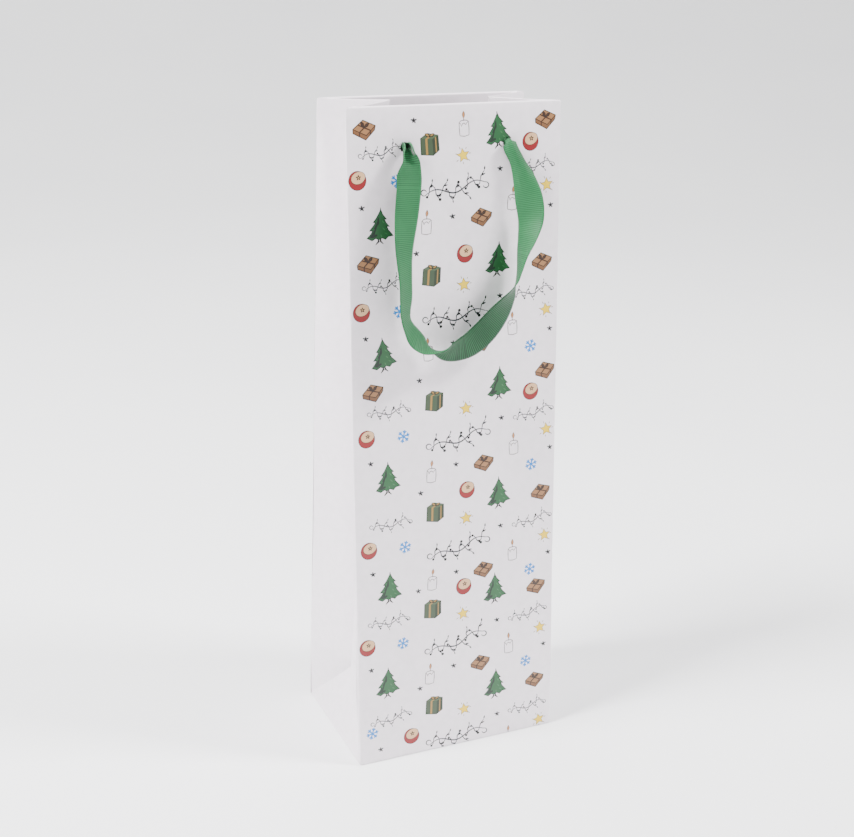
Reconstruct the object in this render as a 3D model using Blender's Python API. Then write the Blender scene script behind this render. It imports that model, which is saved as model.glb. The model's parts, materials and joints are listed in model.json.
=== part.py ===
"""Paper gift bag for one wine bottle, folded from a single sheet, with two ribbon handles.

The printed front faces -Y, +X is to its right and the bag stands on Z = 0. The four walls lean
and fold as the sheet does when the mouth is half pinched: front and back lean towards each other,
and each side gusset folds inwards along its centre crease.
"""

import math

import bmesh
import bpy
from mathutils import Matrix, Vector

# The folded sheet, in metres
WIDTH = 0.120
DEPTH = 0.085
PANEL_HEIGHT = 0.360  # along the slope of the front
LEAN = math.radians(3.4)  # of the front and of the back, towards each other

# Sheet thicknesses, and the gap between sheets that lie on each other
PAPER = 0.0003
TOP_BOARD = 0.0008
BASE_BOARD = 0.0010
SHEET_GAP = 0.0003

# Room left at the folds, measured in the sheet from the fold line
FOLD_ROOM = 0.0004
CORNER_ROOM = 0.0010
BOTTOM_SIDE_ROOM = 0.0015
CORNER_CUT_TOP = 0.003  # a gusset's top corner, cut clear of the panel
CORNER_CUT_SIDE = 0.012

# The mouth: paper turned in over a strip of card
HEM_DEPTH = 0.045
HEM_SIDE_ROOM = 0.010
TOP_BOARD_DEPTH = 0.042
TOP_BOARD_SIDE_ROOM = 0.012
TOP_EDGE_ROOM = 0.0006
GUSSET_HEM_TIP_ROOM = 0.0015

# The glued back corner
SEAM_WIDTH = 0.012
SEAM_CORNER_ROOM = 0.003
SEAM_FOOT_ROOM = 0.005
SEAM_HEM_ROOM = 0.002

# The glued bottom
FLAP_OVERLAP = 0.025  # of the two long flaps over each other
FLAP_TAPER = 0.008  # by which a flap's free edge is shorter at each end
TAB_REACH = 0.030
TAB_TAPER = 0.014
BASE_BOARD_SIDE_ROOM = 0.003

# Handles
HOLE_SPACING = 0.057
HOLE_BELOW_TOP = 0.0205
HOLE_DIAMETER = 0.005
STEM_DIAMETER = 0.0036  # the ribbon bunched up where it runs through its hole
STEM_PROUD = 0.0036
HANDLE_AXIS_PROUD = 0.0052  # where the hanging ribbon starts to swing, outside its holes
KNOT_DIAMETER = 0.012
KNOT_DEPTH = 0.0065
KNOT_RINGS = 8
RIBBON_WIDTH = 0.015
RIBBON_THICKNESS = 0.0008

# The ribbon's route between its holes: offset across the bag from its middle, distance below the
# holes, distance proud of the panel, then the direction of its width in the same three axes, and
# the share of its full width that is spread out there. Millimetres.
RIBBON_ROUTE = (
    ((-28.5, 0.0, 5.2), (1.00, 0.00, 0.00), 0.28),
    ((-28.9, 1.6, 7.0), (1.00, 0.00, -0.06), 0.42),
    ((-29.3, 8.2, 7.3), (0.96, 0.04, -0.25), 0.80),
    ((-29.7, 13.5, 7.8), (0.97, 0.07, -0.22), 1.00),
    ((-30.3, 21.0, 8.2), (0.97, 0.10, -0.22), 1.00),
    ((-31.8, 33.5, 8.6), (0.95, 0.12, -0.28), 1.00),
    ((-33.2, 46.0, 9.0), (0.88, 0.08, -0.47), 1.00),
    ((-33.4, 55.5, 9.2), (0.80, 0.00, -0.60), 1.00),
    ((-32.9, 65.5, 9.3), (0.73, 0.00, -0.68), 1.00),
    ((-32.8, 75.0, 9.4), (0.72, 0.04, -0.69), 1.00),
    ((-33.2, 82.5, 9.5), (0.66, 0.00, -0.75), 1.00),
    ((-32.0, 89.0, 9.7), (0.57, -0.20, -0.79), 1.00),
    ((-28.6, 95.2, 10.0), (0.56, -0.42, -0.72), 1.00),
    ((-23.2, 99.8, 10.4), (0.40, -0.38, -0.83), 1.00),
    ((-16.8, 103.2, 10.8), (-0.05, 0.10, -0.99), 1.00),
    ((-9.6, 104.6, 10.5), (0.00, 0.76, -0.65), 1.00),
    ((-2.4, 103.8, 10.0), (0.24, 0.90, -0.36), 1.00),
    ((4.6, 101.2, 9.6), (0.50, 0.85, -0.18), 1.00),
    ((12.1, 95.8, 9.3), (0.68, 0.72, -0.13), 1.00),
    ((19.4, 88.0, 9.5), (0.71, 0.61, -0.30), 1.00),
    ((25.2, 80.0, 10.0), (0.66, 0.42, -0.62), 1.00),
    ((29.0, 71.8, 10.5), (0.41, 0.18, -0.90), 1.00),
    ((30.6, 65.0, 10.9), (0.28, 0.10, -0.95), 1.00),
    ((32.2, 57.2, 10.9), (0.10, 0.05, -0.99), 1.00),
    ((35.2, 48.5, 10.4), (-0.22, 0.01, -0.98), 1.00),
    ((37.6, 38.7, 9.6), (-0.58, 0.04, -0.81), 1.00),
    ((36.8, 28.2, 8.7), (-0.80, 0.12, -0.58), 0.97),
    ((34.2, 17.4, 7.9), (-0.88, 0.22, -0.30), 0.74),
    ((31.6, 9.4, 7.5), (-0.92, 0.30, -0.10), 0.50),
    ((29.4, 3.2, 6.8), (-0.97, 0.22, 0.00), 0.42),
    ((28.5, 0.0, 5.2), (-1.00, 0.00, 0.00), 0.28),
)
ROUTE_STEPS = 2  # stations between two points of the route

SEGMENTS = 24
CUTTER_LENGTH = 0.020  # longer than the whole stack of paper and card
PIVOT_SIZE = 0.010
NO_ROOM = (0.0,) * 4
MM = 0.001
INSIDE = Vector((0.0, 0.0, DEPTH / 4))  # a point inside every wall's plane

COLOURS = {  # base colour, roughness
    "white_paper": ((0.90, 0.89, 0.90), 0.35),
    "grey_card": ((0.62, 0.60, 0.56), 0.80),
    "green_ribbon": ((0.10, 0.36, 0.19), 0.60),
}


# ---------------------------------------------------------------- small tools


def clear_scene():
    for item in list(bpy.data.objects):
        bpy.data.objects.remove(item, do_unlink=True)


def make_material(name):
    colour, roughness = COLOURS[name]
    material = bpy.data.materials.new(name)
    material.use_nodes = True
    shader = material.node_tree.nodes["Principled BSDF"]
    shader.inputs["Base Color"].default_value = (*colour, 1.0)
    shader.inputs["Roughness"].default_value = roughness
    shader.inputs["Metallic"].default_value = 0.0
    return material


def add_object(name, mesh_data, material, parent):
    """An object from a closed bmesh, facing out, under an empty that keeps the body's pieces together."""
    bmesh.ops.recalc_face_normals(mesh_data, faces=mesh_data.faces)
    mesh = bpy.data.meshes.new(name)
    mesh_data.to_mesh(mesh)
    mesh_data.free()
    item = bpy.data.objects.new(name, mesh)
    bpy.context.collection.objects.link(item)
    item.data.materials.append(material)
    item.parent = parent
    if parent is not None:
        item.matrix_parent_inverse = parent.matrix_world.inverted()
    return item


def add_pivot(name, position):
    """An empty on a joint's axis, which a moving body's pieces hang from."""
    pivot = bpy.data.objects.new(name, None)
    pivot.empty_display_size = PIVOT_SIZE
    pivot.matrix_world = Matrix.Translation(position)
    bpy.context.collection.objects.link(pivot)
    return pivot


def prism(outer, inner):
    """A closed solid between two polygons that have the same number of corners."""
    solid = bmesh.new()
    front = [solid.verts.new(point) for point in outer]
    back = [solid.verts.new(point) for point in inner]
    solid.faces.new(front)
    solid.faces.new(reversed(back))
    count = len(front)
    for i in range(count):
        j = (i + 1) % count
        solid.faces.new((front[i], back[i], back[j], front[j]))
    return solid


def inset_polygon(corners, normal, rooms):
    """Moves each edge of a flat polygon inwards by its own room. Edge i runs from corner i to the next."""
    count = len(corners)
    centre = sum(corners, Vector()) / count
    lines = []
    for i, room in enumerate(rooms):
        along = (corners[(i + 1) % count] - corners[i]).normalized()
        inwards = normal.cross(along)
        if inwards.dot(centre - corners[i]) < 0:
            inwards.negate()
        lines.append((corners[i] + inwards * room, along, inwards))
    moved = []
    for i in range(count):
        start, along, _ = lines[i - 1]
        point, _, inwards = lines[i]
        moved.append(start + along * ((point - start).dot(inwards) / along.dot(inwards)))
    return moved


def sheet(name, corners, rooms, material, parent, thickness=PAPER, depth=0.0):
    """A flat sheet whose outer face lies depth inside the plane of its corners."""
    normal = (corners[1] - corners[0]).cross(corners[2] - corners[0]).normalized()
    if normal.dot(INSIDE - corners[0]) > 0:
        normal.negate()
    outline = inset_polygon(corners, normal, rooms)
    outer = [point - normal * depth for point in outline]
    inner = [point - normal * (depth + thickness) for point in outline]
    return add_object(name, prism(outer, inner), material, parent)


# ---------------------------------------------------------------- the folded sheet's corners


def fold_points():
    """The left side's six fold points at rest, with the front's first.

    The bottom triangle of a gusset tilts in until its tip is as far from the front's corner as it
    is in the flat sheet. The tip of the top edge is where the sheet's lengths to the front's top
    corner and down the centre crease meet on the middle plane.
    """
    sine = math.sin(LEAN)
    cosine = math.cos(LEAN)
    half = DEPTH / 2
    side = -WIDTH / 2
    tilt = math.acos((1 - sine) / cosine)
    front_low = Vector((side, -half, 0.0))
    front_top = Vector((side, -half + PANEL_HEIGHT * sine, PANEL_HEIGHT * cosine))
    tip_low = Vector((side + half * math.sin(tilt), 0.0, half * math.cos(tilt)))
    reach = math.sqrt(half**2 - front_top.y**2)
    crease = PANEL_HEIGHT - half
    towards = Vector((side, 0.0, front_top.z)) - tip_low
    span = towards.length
    share = (crease**2 - reach**2 + span**2) / (2 * span)
    height = math.sqrt(crease**2 - share**2)
    unit = towards.normalized()
    across = Vector((unit.z, 0.0, -unit.x))
    tip_top = tip_low + unit * share + across * height
    return front_low, front_top, tip_low, tip_top


def mirrored(point, flip_x, flip_y):
    return Vector((-point.x if flip_x else point.x, -point.y if flip_y else point.y, point.z))


def panel_frame(is_back):
    """Takes (across, up the slope, proud) on a panel to the bag's frame."""
    sine = math.sin(LEAN)
    cosine = math.cos(LEAN)
    axes = Matrix(
        (
            (1.0, 0.0, 0.0, 0.0),
            (0.0, sine, -cosine, -DEPTH / 2),
            (0.0, cosine, sine, 0.0),
            (0.0, 0.0, 0.0, 1.0),
        )
    )
    if is_back:
        return Matrix.Rotation(math.pi, 4, "Z") @ axes
    return axes


# ---------------------------------------------------------------- bottom


def build_bottom(paper, card):
    """The glued bottom: front flap outermost, then the back flap, the two side tabs and a loose card."""
    half_width = WIDTH / 2 - BOTTOM_SIDE_ROOM
    edge = DEPTH / 2 - PAPER - FOLD_ROOM
    reach = FLAP_OVERLAP / 2

    def flat(name, outline, low, thickness, material):
        corners = [Vector((x, y, low)) for x, y in outline]
        top = [Vector((x, y, low + thickness)) for x, y in outline]
        return add_object(name, prism(corners, top), material, None)

    layer = PAPER + SHEET_GAP
    narrow = half_width - FLAP_TAPER
    front = ((-half_width, -edge), (half_width, -edge), (narrow, reach), (-narrow, reach))
    flat("bottom_front_flap", front, 0.0, PAPER, paper)
    back = [(-x, -y) for x, y in front]
    flat("bottom_back_flap", back, layer, PAPER, paper)
    tab_edge = edge - BOTTOM_SIDE_ROOM
    tab_end = tab_edge - TAB_TAPER
    inner = half_width - TAB_REACH
    tab = ((half_width, -tab_edge), (half_width, tab_edge), (inner, tab_end), (inner, -tab_end))
    flat("bottom_right_tab", tab, 2 * layer, PAPER, paper)
    flat("bottom_left_tab", [(-x, -y) for x, y in tab], 2 * layer, PAPER, paper)
    board_x = WIDTH / 2 - BASE_BOARD_SIDE_ROOM
    board_y = DEPTH / 2 - BASE_BOARD_SIDE_ROOM
    board = ((-board_x, -board_y), (board_x, -board_y), (board_x, board_y), (-board_x, board_y))
    flat("base_board", board, 3 * layer, BASE_BOARD, card)


# ---------------------------------------------------------------- front and back


def panel_corners(frame, left, right, low, high):
    outline = ((left, low), (right, low), (right, high), (left, high))
    return [frame @ Vector((x, up, 0.0)) for x, up in outline]


def hole_cutter(name, frame, across):
    """A pin through every layer of the panel at one ribbon hole."""
    place = frame @ Matrix.Translation((across, PANEL_HEIGHT - HOLE_BELOW_TOP, 0.0))
    solid = bmesh.new()
    bmesh.ops.create_cone(
        solid,
        cap_ends=True,
        segments=SEGMENTS,
        radius1=HOLE_DIAMETER / 2,
        radius2=HOLE_DIAMETER / 2,
        depth=CUTTER_LENGTH,
        matrix=place,
    )
    cutter = add_object(name, solid, None, None)
    cutter.hide_render = True
    cutter.display_type = "WIRE"
    return cutter


def turned(profile):
    """A solid of revolution about +Z from (radius, height) points, closed at both ends on the axis."""
    solid = bmesh.new()
    rings = []
    for radius, height in profile:
        if radius == 0:
            rings.append([solid.verts.new((0.0, 0.0, height))])
            continue
        turns = [2 * math.pi * i / SEGMENTS for i in range(SEGMENTS)]
        rings.append(
            [solid.verts.new((radius * math.cos(a), radius * math.sin(a), height)) for a in turns]
        )
    for low, high in zip(rings, rings[1:]):
        for i in range(SEGMENTS):
            j = (i + 1) % SEGMENTS
            if len(low) == 1:
                solid.faces.new((low[0], high[i], high[j]))
            elif len(high) == 1:
                solid.faces.new((low[i], low[j], high[0]))
            else:
                solid.faces.new((low[i], low[j], high[j], high[i]))
    return solid


def build_knot(name, frame, across, stack, material, parent):
    """The ribbon's knot inside the bag, with the bunched ribbon that runs out through the hole."""
    stem = STEM_DIAMETER / 2
    back = -(stack + SHEET_GAP)
    profile = [(0.0, back - KNOT_DEPTH)]
    for step in range(1, KNOT_RINGS):
        angle = math.pi * step / KNOT_RINGS
        radius = KNOT_DIAMETER / 2 * math.sin(angle)
        profile.append((radius, back - KNOT_DEPTH / 2 * (1 + math.cos(angle))))
    profile += [(stem, back), (stem, STEM_PROUD), (0.0, STEM_PROUD)]
    solid = turned(profile)
    place = frame @ Matrix.Translation((across, PANEL_HEIGHT - HOLE_BELOW_TOP, 0.0))
    solid.transform(place)
    knot = add_object(name, solid, material, parent)
    knot.data.shade_smooth()


def build_panel(side, is_back, paper, card, ribbon):
    """A printed wall with its turned-in hem, the card inside the hem and the two knots."""
    frame = panel_frame(is_back)
    pivot = add_pivot(f"{side}_panel_crease", frame @ Vector((0.0, 0.0, 0.0)))
    half = WIDTH / 2
    layer = PAPER + SHEET_GAP
    full = panel_corners(frame, -half, half, 0.0, PANEL_HEIGHT)
    wall = sheet(f"{side}_panel", full, (PAPER, 0.0, 0.0, 0.0), paper, pivot)
    board_half = half - TOP_BOARD_SIDE_ROOM
    top = PANEL_HEIGHT - TOP_EDGE_ROOM
    card_outline = panel_corners(frame, -board_half, board_half, top - TOP_BOARD_DEPTH, top)
    board = sheet(
        f"{side}_top_board", card_outline, NO_ROOM, card, pivot, thickness=TOP_BOARD, depth=layer
    )
    hem_half = half - HEM_SIDE_ROOM
    hem_outline = panel_corners(frame, -hem_half, hem_half, PANEL_HEIGHT - HEM_DEPTH, PANEL_HEIGHT)
    hem_layer = layer + TOP_BOARD + SHEET_GAP
    hem = sheet(f"{side}_hem", hem_outline, NO_ROOM, paper, pivot, depth=hem_layer)
    for word, across in (("left", -HOLE_SPACING / 2), ("right", HOLE_SPACING / 2)):
        cutter = hole_cutter(f"{side}_{word}_hole_cutter", frame, across)
        for layer_object in (wall, board, hem):
            cut = layer_object.modifiers.new(f"{word}_hole", "BOOLEAN")
            cut.operation = "DIFFERENCE"
            cut.solver = "EXACT"
            cut.object = cutter
        build_knot(f"{side}_{word}_knot", frame, across, hem_layer + PAPER, ribbon, pivot)
    if is_back:
        build_seam(frame, paper, pivot)


def build_seam(frame, paper, pivot):
    """The glue flap that closes the sheet into a tube, inside the back at its outer corner."""
    outer = WIDTH / 2 - SEAM_CORNER_ROOM
    top = PANEL_HEIGHT - HEM_DEPTH - SEAM_HEM_ROOM
    corners = panel_corners(frame, -outer, -outer + SEAM_WIDTH, SEAM_FOOT_ROOM, top)
    sheet("seam_flap", corners, NO_ROOM, paper, pivot, depth=PAPER + SHEET_GAP)


# ---------------------------------------------------------------- gussets


def build_gusset_half(side, face, flip_x, flip_y, paper):
    """One half of a side gusset: the long triangle at the panel, the long one at the centre crease
    and the hem turned in at the mouth."""
    low, top, tip_low, tip_top = (mirrored(p, flip_x, flip_y) for p in fold_points())
    name = f"{side}_{face}_gusset"
    corner_pivot = add_pivot(f"{name}_corner_crease", low)
    sheet(f"{name}_lower", (low, top, tip_low), (CORNER_ROOM, FOLD_ROOM, FOLD_ROOM), paper, corner_pivot)
    across = (tip_top - top).normalized()
    down = (tip_low - tip_top).normalized()
    slope = (tip_low - top).normalized()
    fold_pivot = add_pivot(f"{name}_slanting_crease", tip_low)
    outline = (top + across * CORNER_CUT_TOP, tip_top, tip_low, top + slope * CORNER_CUT_SIDE)
    rooms = (0.0, FOLD_ROOM, FOLD_ROOM, 0.0)
    sheet(f"{name}_upper", outline, rooms, paper, fold_pivot)
    start = top + across * HEM_SIDE_ROOM
    end = tip_top - across * GUSSET_HEM_TIP_ROOM
    hem = (start, end, end + down * HEM_DEPTH, start + down * HEM_DEPTH)
    sheet(f"{name}_hem", hem, NO_ROOM, paper, fold_pivot, depth=PAPER + SHEET_GAP)


def build_gusset(side, flip_x, paper):
    """A side gusset: its bottom triangle and its two halves."""
    low, _, tip_low, _ = (mirrored(p, flip_x, False) for p in fold_points())
    back_low = mirrored(low, False, True)
    pivot = add_pivot(f"{side}_gusset_foot_crease", (low + back_low) / 2)
    rooms = (CORNER_ROOM, FOLD_ROOM, FOLD_ROOM)
    sheet(f"{side}_gusset_foot", (low, back_low, tip_low), rooms, paper, pivot)
    build_gusset_half(side, "front", flip_x, False, paper)
    build_gusset_half(side, "back", flip_x, True, paper)


# ---------------------------------------------------------------- handles


def smooth_between(values, index, share):
    """Catmull-Rom value between values[index] and the next one."""
    last = len(values) - 1
    before = values[max(index - 1, 0)]
    here = values[index]
    there = values[min(index + 1, last)]
    after = values[min(index + 2, last)]
    square = share * share
    cube = square * share
    return 0.5 * (
        here * 2
        + (there - before) * share
        + (before * 2 - here * 5 + there * 4 - after) * square
        + (here * 3 - before - there * 3 + after) * cube
    )


def ribbon_stations():
    """Points, width directions and spread of the ribbon at even steps along its route."""
    places = [Vector(place) * MM for place, _, _ in RIBBON_ROUTE]
    widths = [Vector(width).normalized() for _, width, _ in RIBBON_ROUTE]
    spreads = [spread for _, _, spread in RIBBON_ROUTE]
    stations = []
    for index in range(len(RIBBON_ROUTE) - 1):
        for step in range(ROUTE_STEPS):
            share = step / ROUTE_STEPS
            place = smooth_between(places, index, share)
            width = smooth_between(widths, index, share).normalized()
            spread = smooth_between(spreads, index, share)
            stations.append((place, width, spread))
    stations.append((places[-1], widths[-1], spreads[-1]))
    return stations


def build_ribbon(side, is_back, material):
    """A ribbon handle hanging outside its panel, from one hole to the other."""
    frame = panel_frame(is_back)
    hole_height = PANEL_HEIGHT - HOLE_BELOW_TOP
    spacing_share = HOLE_SPACING / (RIBBON_ROUTE[-1][0][0] - RIBBON_ROUTE[0][0][0]) / MM
    stations = ribbon_stations()
    rings = []
    for index, (place, width, spread) in enumerate(stations):
        before = stations[max(index - 1, 0)][0]
        after = stations[min(index + 1, len(stations) - 1)][0]
        along = (after - before).normalized()
        width = (width - along * width.dot(along)).normalized()
        face = along.cross(width)
        half = width * (RIBBON_WIDTH * spread / 2)
        thick = face * (RIBBON_THICKNESS / 2)
        low_edge = place - half
        high_edge = place + half
        ring = []
        for corner in (low_edge - thick, high_edge - thick, high_edge + thick, low_edge + thick):
            across = corner.x * spacing_share
            up = hole_height - corner.y
            ring.append(frame @ Vector((across, up, corner.z)))
        rings.append(ring)
    solid = bmesh.new()
    loops = [[solid.verts.new(corner) for corner in ring] for ring in rings]
    solid.faces.new(loops[0])
    solid.faces.new(reversed(loops[-1]))
    for low, high in zip(loops, loops[1:]):
        for i in range(4):
            j = (i + 1) % 4
            solid.faces.new((low[i], high[i], high[j], low[j]))
    axis_point = Vector((0.0, hole_height, HANDLE_AXIS_PROUD))
    pivot = add_pivot(f"{side}_handle_pivot", frame @ axis_point)
    add_object(f"{side}_handle_ribbon", solid, material, pivot)


# ---------------------------------------------------------------- the bag


def build_bag():
    clear_scene()
    paper = make_material("white_paper")
    card = make_material("grey_card")
    ribbon = make_material("green_ribbon")
    build_bottom(paper, card)
    build_panel("front", False, paper, card, ribbon)
    build_panel("back", True, paper, card, ribbon)
    build_gusset("left", False, paper)
    build_gusset("right", True, paper)
    build_ribbon("front", False, ribbon)
    build_ribbon("back", True, ribbon)


build_bag()
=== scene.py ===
"""Looks of the wine gift bag: printed paper sheets, grosgrain ribbon handles and their knots.

Every sheet of the bag is worked out flat, as (distance across, distance up) on the paper, and then
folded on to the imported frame. The print is cut into the sheets' own faces, one material to an ink.
"""

import json
import math

import bmesh
import bpy
from mathutils import Matrix, Vector
from mathutils.geometry import delaunay_2d_cdt


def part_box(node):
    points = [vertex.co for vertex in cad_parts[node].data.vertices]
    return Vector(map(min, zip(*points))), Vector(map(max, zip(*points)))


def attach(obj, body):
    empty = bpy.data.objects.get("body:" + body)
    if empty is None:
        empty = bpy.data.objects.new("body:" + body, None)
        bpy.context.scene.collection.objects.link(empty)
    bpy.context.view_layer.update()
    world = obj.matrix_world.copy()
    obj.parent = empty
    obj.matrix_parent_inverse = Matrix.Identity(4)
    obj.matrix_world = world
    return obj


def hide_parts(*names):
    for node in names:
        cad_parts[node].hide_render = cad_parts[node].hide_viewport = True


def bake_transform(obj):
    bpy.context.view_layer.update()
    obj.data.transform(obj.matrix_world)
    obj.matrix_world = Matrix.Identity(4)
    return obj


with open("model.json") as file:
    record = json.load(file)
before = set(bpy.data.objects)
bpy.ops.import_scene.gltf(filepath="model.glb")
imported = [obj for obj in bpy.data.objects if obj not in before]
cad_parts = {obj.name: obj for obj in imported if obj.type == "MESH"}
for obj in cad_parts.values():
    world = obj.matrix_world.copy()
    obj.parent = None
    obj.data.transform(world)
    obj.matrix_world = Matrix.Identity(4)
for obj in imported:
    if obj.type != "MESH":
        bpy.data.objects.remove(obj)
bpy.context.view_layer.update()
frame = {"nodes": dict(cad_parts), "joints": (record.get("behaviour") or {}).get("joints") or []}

MM = 0.001

# ---- sizes, from the frame's joints


def joint_named(name):
    return next(joint for joint in frame["joints"] if joint["name"] == name)


CORNER_JOINT = joint_named("left_front_corner_fold")
SLANT_JOINT = joint_named("left_front_slant_fold")
CORNER_LOW = Vector(CORNER_JOINT["pos_m"])  # where the front's left crease meets the bottom
CORNER_UP = Vector(CORNER_JOINT["axis"]).normalized()  # up that crease
TIP_LOW = Vector(SLANT_JOINT["pos_m"])  # lower end of the gusset's centre crease
HALF_WIDTH = -CORNER_LOW.x
HALF_DEPTH = -CORNER_LOW.y
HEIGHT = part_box("front_panel")[1].z / CORNER_UP.z  # of the front, along its slope
CORNER_TOP = CORNER_LOW + CORNER_UP * HEIGHT

# The paper and what lies in the hems
PAPER = 0.0003
WALL_HEM_STACK = 0.0020  # the front, a card and the hem
GUSSET_HEM_STACK = 0.0009  # the gusset and its hem
HEM_DEPTH = 0.045
WALL_HEM_HALF = HALF_WIDTH - 0.010
GUSSET_HEM_START = 0.010
GUSSET_HEM_END = HALF_DEPTH - 0.0015

# Folds
CORNER_REACH = 0.0012  # from the corner to where its rounding starts, on each side
CORNER_LENGTH = 0.0017  # of the rounding, on the sheet
FOOT_RADIUS = 0.0007
WALL_LIFT = 0.00006  # of a wall's turned-under edge off the table
FOOT_LIFT = 0.00026  # of a bottom triangle's, which leans further
SLANT_SOFTNESS = 0.013  # half the width over which the slanting crease is bent
SLANT_SPREAD = 0.12  # how fast that width grows from the crease's ends
PROBE = 0.00005  # either way, to find how a sheet slopes at a place
SHARP_ANGLE = math.radians(35)

# Ribbon
HOLE_BELOW_TOP = 0.0205
HOLE_SPACING = 0.057
HOLE_RADIUS = 0.0025
RIBBON_WIDTH = 0.015
RIBBON_THICKNESS = 0.0005
RIB_PITCH = 0.00095
RIB_HEIGHT = 0.00007
SELVEDGE = 0.14  # the smooth edge, as a share of half the width
CURL = 0.10  # radians that each half turns where the ribbon is spread out
ROLL = 3.2  # and how many more as it is bunched
PLEAT = 0.0007
FINE_STEPS = 40  # between two stations of its route
KNOT_STEPS = 20

# Each ribbon's route, in millimetres: offset across the bag from its middle, distance below the
# holes, distance proud of the panel, then the direction of its width in the same three axes, and
# the share of its full width that is spread out.
RIBBON_ROUTE = (
    # Out from the knot through the left hole
    (-28.5, 1.3, -3.2, 1.0, 0.0, 0.0, 0.2),
    (-28.5, 1.3, 0.0, 1.0, 0.0, 0.0, 0.2),
    (-28.8, 0.9, 2.2, 1.0, 0.0, 0.0, 0.22),
    (-29.3, 1.4, 4.2, 1.0, 0.0, 0.0, 0.28),
    (-29.8, 4.0, 5.6, 1.0, 0.0, -0.05, 0.42),
    # The hanging part, as in the frame
    (-29.5, 8.2, 6.9, 0.96, 0.04, -0.25, 0.78),
    (-29.7, 13.5, 7.7, 0.97, 0.07, -0.22, 1.0),
    (-30.3, 21.0, 8.2, 0.97, 0.1, -0.22, 1.0),
    (-31.8, 33.5, 8.6, 0.95, 0.12, -0.28, 1.0),
    (-33.2, 46.0, 9.0, 0.88, 0.08, -0.47, 1.0),
    (-33.4, 55.5, 9.2, 0.8, 0.0, -0.6, 1.0),
    (-32.9, 65.5, 9.3, 0.73, 0.0, -0.68, 1.0),
    (-32.8, 75.0, 9.4, 0.72, 0.04, -0.69, 1.0),
    (-33.2, 82.5, 9.5, 0.66, 0.0, -0.75, 1.0),
    (-32.0, 89.0, 9.7, 0.57, -0.2, -0.79, 1.0),
    (-28.6, 95.2, 10.0, 0.56, -0.42, -0.72, 1.0),
    (-23.2, 99.8, 10.4, 0.4, -0.38, -0.83, 1.0),
    (-16.8, 103.2, 10.8, -0.05, 0.1, -0.99, 1.0),
    (-9.6, 104.6, 10.5, 0.0, 0.76, -0.65, 1.0),
    (-2.4, 103.8, 10.0, 0.24, 0.9, -0.36, 1.0),
    (4.6, 101.2, 9.6, 0.5, 0.85, -0.18, 1.0),
    (12.1, 95.8, 9.3, 0.68, 0.72, -0.13, 1.0),
    (19.4, 88.0, 9.5, 0.71, 0.61, -0.3, 1.0),
    (25.2, 80.0, 10.0, 0.66, 0.42, -0.62, 1.0),
    (29.0, 71.8, 10.5, 0.41, 0.18, -0.9, 1.0),
    (30.6, 65.0, 10.9, 0.28, 0.1, -0.95, 1.0),
    (32.2, 57.2, 10.9, 0.1, 0.05, -0.99, 1.0),
    (35.2, 48.5, 10.4, -0.22, 0.01, -0.98, 1.0),
    (37.6, 38.7, 9.6, -0.58, 0.04, -0.81, 1.0),
    (36.8, 28.2, 8.7, -0.8, 0.12, -0.58, 0.97),
    (34.2, 17.4, 7.6, -0.88, 0.22, -0.4, 0.74),
    (31.6, 9.4, 6.8, -0.9, 0.34, -0.2, 0.5),
    # In through the right hole to the other knot
    (29.4, 3.2, 6.0, -0.97, 0.22, 0.0, 0.5),
    (28.7, -0.4, 4.8, -1.0, 0.05, 0.0, 0.48),
    (28.5, -1.4, 3.0, -1.0, 0.0, 0.0, 0.34),
    (28.5, -1.4, 0.0, -1.0, 0.0, 0.0, 0.22),
    (28.5, -1.4, -3.2, -1.0, 0.0, 0.0, 0.2),
)
BACK_FACE_PAINTED_SHADE = 0.55  # painted shade on the ribbon's other face, as a share of the ribs' contrast

# ---- colours


def linear(red, green, blue):
    """The shader's colour of a displayed one, given as 0 to 255."""
    levels = []
    for value in (red, green, blue):
        level = value / 255
        levels.append(level / 12.92 if level <= 0.04045 else ((level + 0.055) / 1.055) ** 2.4)
    return (*levels, 1.0)


PAPER_WHITE = linear(240, 232, 238)
PAPER_SHADE = linear(233, 225, 231)
CARD_LIGHT = linear(206, 202, 194)
CARD_DARK = linear(176, 170, 160)
RIBBON_LIGHT = linear(28, 106, 58)
RIBBON_DARK = linear(4, 46, 22)
FLOOR_LIGHT = linear(250, 250, 251)
FLOOR_SHADE = linear(246, 246, 248)
PAPER_ROUGHNESS = 0.36
PRINT_ROUGHNESS = 0.38
PAPER_SPECULAR = 0.45

INKS = {  # as displayed
    "fir_dark": (18, 34, 24),
    "fir_green": (28, 80, 42),
    "fir_light": (50, 104, 60),
    "wood": (24, 18, 16),
    "parcel_line": (34, 20, 12),
    "parcel_top": (142, 100, 62),
    "parcel_side": (112, 74, 44),
    "parcel_band": (50, 28, 16),
    "present_line": (20, 28, 20),
    "present_face": (52, 68, 46),
    "present_side": (36, 48, 32),
    "present_top": (64, 82, 56),
    "gold": (146, 112, 52),
    "apple_red": (130, 18, 24),
    "apple_line": (54, 16, 12),
    "apple_flesh": (204, 164, 124),
    "core": (58, 32, 18),
    "star_yellow": (230, 194, 34),
    "star_line": (106, 82, 22),
    "candle_line": (70, 56, 50),
    "flame": (168, 114, 68),
    "ice_blue": (16, 118, 196),
    "black": (15, 12, 15),
}

# ---- materials


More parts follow.
